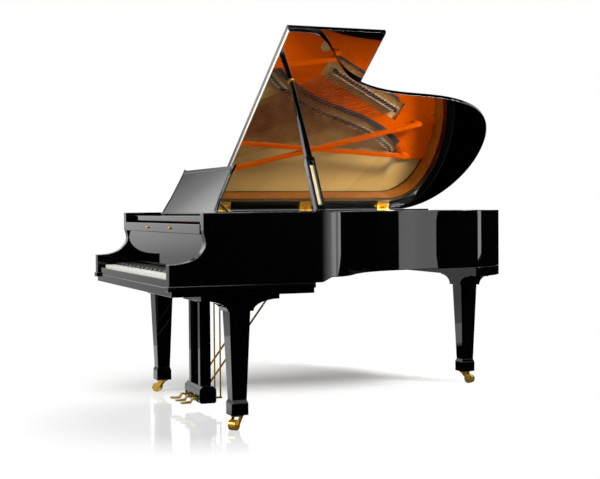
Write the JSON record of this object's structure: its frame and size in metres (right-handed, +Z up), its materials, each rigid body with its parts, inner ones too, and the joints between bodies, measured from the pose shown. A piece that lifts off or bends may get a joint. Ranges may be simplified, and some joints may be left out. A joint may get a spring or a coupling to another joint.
{
  "type": "grand piano",
  "caption": "Black polished grand piano with open propped lid, keyboard, music desk, pedal lyre and casters, and a working set of keys, hammers, dampers and pedals.",
  "frame": {"origin": "on the floor, midway across the case and midway along its length with the lid overhang", "axes": "+X towards the treble side, +Y towards the tail, +Z up"},
  "size_m": [1.533, 2.1951, 1.9197],
  "materials": {
    "black_polish": "wood under high-gloss black lacquer",
    "bare_wood": "bare hardwood",
    "spruce": "varnished spruce",
    "plate_paint": "cast iron under copper-orange lacquer",
    "brass": "polished brass",
    "steel": "drawn steel",
    "copper_wound": "copper winding",
    "felt": "pressed dark felt",
    "white_key": "wood with a white key covering",
    "black_key": "satin black"
  },
  "bodies": {
    "case": {"outer_rim": "black_polish", "inner_rim": "bare_wood", "keybed": "black_polish", "belly_rail": "bare_wood", "base_mouldings": "black_polish", "back_beams": "bare_wood", "rear_leg_board": "black_polish", "keyslip": "black_polish", "key_blocks": "black_polish", "pinblock": "bare_wood", "soundboard": "spruce", "soundboard_ribs": "bare_wood", "bridges": "bare_wood", "iron_plate": "plate_paint", "plate_bolts": "brass", "treble_strings": "steel", "bass_strings": "copper_wound", "tuning_pins": "steel", "string_felts": "felt", "lid_hinges_case": "brass", "prop_bracket": "brass", "front_treble_leg": "black_polish", "front_bass_leg": "black_polish", "rear_leg": "black_polish", "lyre_head": "black_polish", "lyre_posts": "black_polish", "pedal_box": "black_polish", "lyre_braces": "brass"},
    "action": {"keyframe": "bare_wood", "action_rack": "bare_wood"},
    "fallboard": {"fallboard": "black_polish", "fallboard_knobs": "brass"},
    "lid": {"main_lid": "black_polish", "flap_hinge": "brass", "lid_hinges_lid": "brass", "prop_cup": "brass"},
    "white_keys": {"white_keys": "white_key"},
    "black_keys": {"black_keys": "black_key"},
    "white_hammers": {"white_hammers": "bare_wood"},
    "black_hammers": {"black_hammers": "bare_wood"},
    "dampers": {"dampers": "felt"},
    "sostenuto_rod": {"sostenuto_rod": "steel"},
    "music_tray": {"music_tray": "black_polish"},
    "music_desk": {"music_desk": "black_polish"},
    "desk_stays": {"desk_stays": "black_polish"},
    "lid_flap": {"lid_flap": "black_polish"},
    "lid_prop": {"lid_prop": "black_polish"},
    "half_stick": {"half_stick": "brass"},
    "soft_pedal": {"soft_pedal": "brass"},
    "sostenuto_pedal": {"sostenuto_pedal": "brass"},
    "damper_pedal": {"damper_pedal": "brass"},
    "soft_pedal_rod": {"soft_pedal_rod": "brass"},
    "sostenuto_pedal_rod": {"sostenuto_pedal_rod": "brass"},
    "damper_pedal_rod": {"damper_pedal_rod": "brass"},
    "front_treble_caster_fork": {"front_treble_caster_fork": "brass"},
    "front_treble_caster_wheel": {"front_treble_caster_wheel": "brass"},
    "front_bass_caster_fork": {"front_bass_caster_fork": "brass"},
    "front_bass_caster_wheel": {"front_bass_caster_wheel": "brass"},
    "rear_caster_fork": {"rear_caster_fork": "brass"},
    "rear_caster_wheel": {"rear_caster_wheel": "brass"}
  },
  "joints": [
    {"name": "action_shift", "type": "slide", "parent": "case", "child": "action", "axis": [1, 0, 0], "range_m": [0, 0.003]},
    {"name": "white_key_dip", "type": "hinge", "parent": "action", "child": "white_keys", "pos_m": [0, -0.84, 0.702], "axis": [1, 0, 0], "range_deg": [0, 2.5], "stiffness_Nm_per_rad": 20, "springref_deg": -8.59},
    {"name": "white_hammer_swing", "type": "hinge", "parent": "action", "child": "white_hammers", "pos_m": [0, -0.795, 0.808], "axis": [1, 0, 0], "range_deg": [0, 19]},
    {"name": "black_key_dip", "type": "hinge", "parent": "action", "child": "black_keys", "pos_m": [0, -0.84, 0.702], "axis": [1, 0, 0], "range_deg": [0, 2.5], "stiffness_Nm_per_rad": 20, "springref_deg": -8.59},
    {"name": "black_hammer_swing", "type": "hinge", "parent": "action", "child": "black_hammers", "pos_m": [0, -0.795, 0.808], "axis": [1, 0, 0], "range_deg": [0, 19]},
    {"name": "fallboard_close", "type": "hinge", "parent": "case", "child": "fallboard", "pos_m": [0, -0.908, 0.765], "axis": [1, 0, 0], "range_deg": [0, 88]},
    {"name": "music_tray_draw", "type": "slide", "parent": "case", "child": "music_tray", "axis": [0, -1, 0], "range_m": [0, 0.15]},
    {"name": "music_desk_fold", "type": "hinge", "parent": "music_tray", "child": "music_desk", "pos_m": [0, -0.778, 1], "axis": [-1, 0, 0], "range_deg": [0, 63.5]},
    {"name": "desk_stay_fold", "type": "hinge", "parent": "music_desk", "child": "desk_stays", "pos_m": [0, -0.74872, 1.05021], "axis": [-1, 0, 0], "range_deg": [-108.6, 0]},
    {"name": "lid_open", "type": "hinge", "parent": "case", "child": "lid", "pos_m": [-0.75, 0, 1.014], "axis": [0, -1, 0], "range_deg": [0, 20]},
    {"name": "flap_fold", "type": "hinge", "parent": "lid", "child": "lid_flap", "pos_m": [-0.76463, -0.408, 1.03489], "axis": [0.8192, 0, 0.5736], "range_deg": [0, 180]},
    {"name": "prop_fold", "type": "hinge", "parent": "case", "child": "lid_prop", "pos_m": [0.673, -0.323, 0.985], "axis": [0, -1, 0], "range_deg": [0, 53]},
    {"name": "half_stick_raise", "type": "hinge", "parent": "lid_prop", "child": "half_stick", "pos_m": [0.62998, -0.31906, 1.04644], "axis": [0, 1, 0], "range_deg": [0, 35]},
    {"name": "front_treble_swivel", "type": "hinge", "parent": "case", "child": "front_treble_caster_fork", "pos_m": [0.65, -0.745, 0.07], "axis": [0, 0, 1], "continuous": true},
    {"name": "front_treble_roll", "type": "hinge", "parent": "front_treble_caster_fork", "child": "front_treble_caster_wheel", "pos_m": [0.66888, -0.76831, 0.025], "axis": [0.7771, 0.6293, 0], "continuous": true},
    {"name": "front_bass_swivel", "type": "hinge", "parent": "case", "child": "front_bass_caster_fork", "pos_m": [-0.65, -0.745, 0.07], "axis": [0, 0, 1], "continuous": true},
    {"name": "front_bass_roll", "type": "hinge", "parent": "front_bass_caster_fork", "child": "front_bass_caster_wheel", "pos_m": [-0.66888, -0.76831, 0.025], "axis": [0.7771, -0.6293, 0], "continuous": true},
    {"name": "rear_swivel", "type": "hinge", "parent": "case", "child": "rear_caster_fork", "pos_m": [-0.25, 0.97, 0.07], "axis": [0, 0, 1], "continuous": true},
    {"name": "rear_roll", "type": "hinge", "parent": "rear_caster_fork", "child": "rear_caster_wheel", "pos_m": [-0.22542, 0.98721, 0.025], "axis": [-0.5736, 0.8192, 0], "continuous": true},
    {"name": "soft_pedal_press", "type": "hinge", "parent": "case", "child": "soft_pedal", "pos_m": [-0.095, -0.723, 0.066], "axis": [1, 0, 0], "range_deg": [0, 5.2], "stiffness_Nm_per_rad": 15, "springref_deg": -8.59},
    {"name": "soft_rod_lift", "type": "slide", "parent": "case", "child": "soft_pedal_rod", "axis": [0, 0, 1], "range_m": [0, 0.0072]},
    {"name": "sostenuto_pedal_press", "type": "hinge", "parent": "case", "child": "sostenuto_pedal", "pos_m": [0, -0.723, 0.066], "axis": [1, 0, 0], "range_deg": [0, 5.2], "stiffness_Nm_per_rad": 15, "springref_deg": -8.59},
    {"name": "sostenuto_rod_lift", "type": "slide", "parent": "case", "child": "sostenuto_pedal_rod", "axis": [0, 0, 1], "range_m": [0, 0.0072]},
    {"name": "damper_pedal_press", "type": "hinge", "parent": "case", "child": "damper_pedal", "pos_m": [0.095, -0.723, 0.066], "axis": [1, 0, 0], "range_deg": [0, 5.2], "stiffness_Nm_per_rad": 15, "springref_deg": -8.59},
    {"name": "damper_rod_lift", "type": "slide", "parent": "case", "child": "damper_pedal_rod", "axis": [0, 0, 1], "range_m": [0, 0.0072]},
    {"name": "damper_lift", "type": "slide", "parent": "case", "child": "dampers", "axis": [0, 0, 1], "range_m": [0, 0.008]},
    {"name": "sostenuto_turn", "type": "hinge", "parent": "case", "child": "sostenuto_rod", "pos_m": [0, -0.6368, 0.79], "axis": [1, 0, 0], "range_deg": [0, 45]}
  ],
  "couplings": [
    {"joint": "white_hammer_swing", "follows": "white_key_dip", "ratio": 7.58},
    {"joint": "black_hammer_swing", "follows": "black_key_dip", "ratio": 7.58},
    {"joint": "desk_stay_fold", "follows": "music_desk_fold", "ratio": -1.708},
    {"joint": "sostenuto_rod_lift", "follows": "sostenuto_pedal_press", "m_per_rad": 0.078},
    {"joint": "damper_rod_lift", "follows": "damper_pedal_press", "m_per_rad": 0.078},
    {"joint": "soft_pedal_press", "follows": "action_shift", "rad_per_m": 30.2},
    {"joint": "soft_rod_lift", "follows": "action_shift", "ratio": 2.36},
    {"joint": "damper_lift", "follows": "damper_pedal_press", "m_per_rad": 0.088},
    {"joint": "sostenuto_turn", "follows": "sostenuto_pedal_press", "ratio": 8.6}
  ]
}
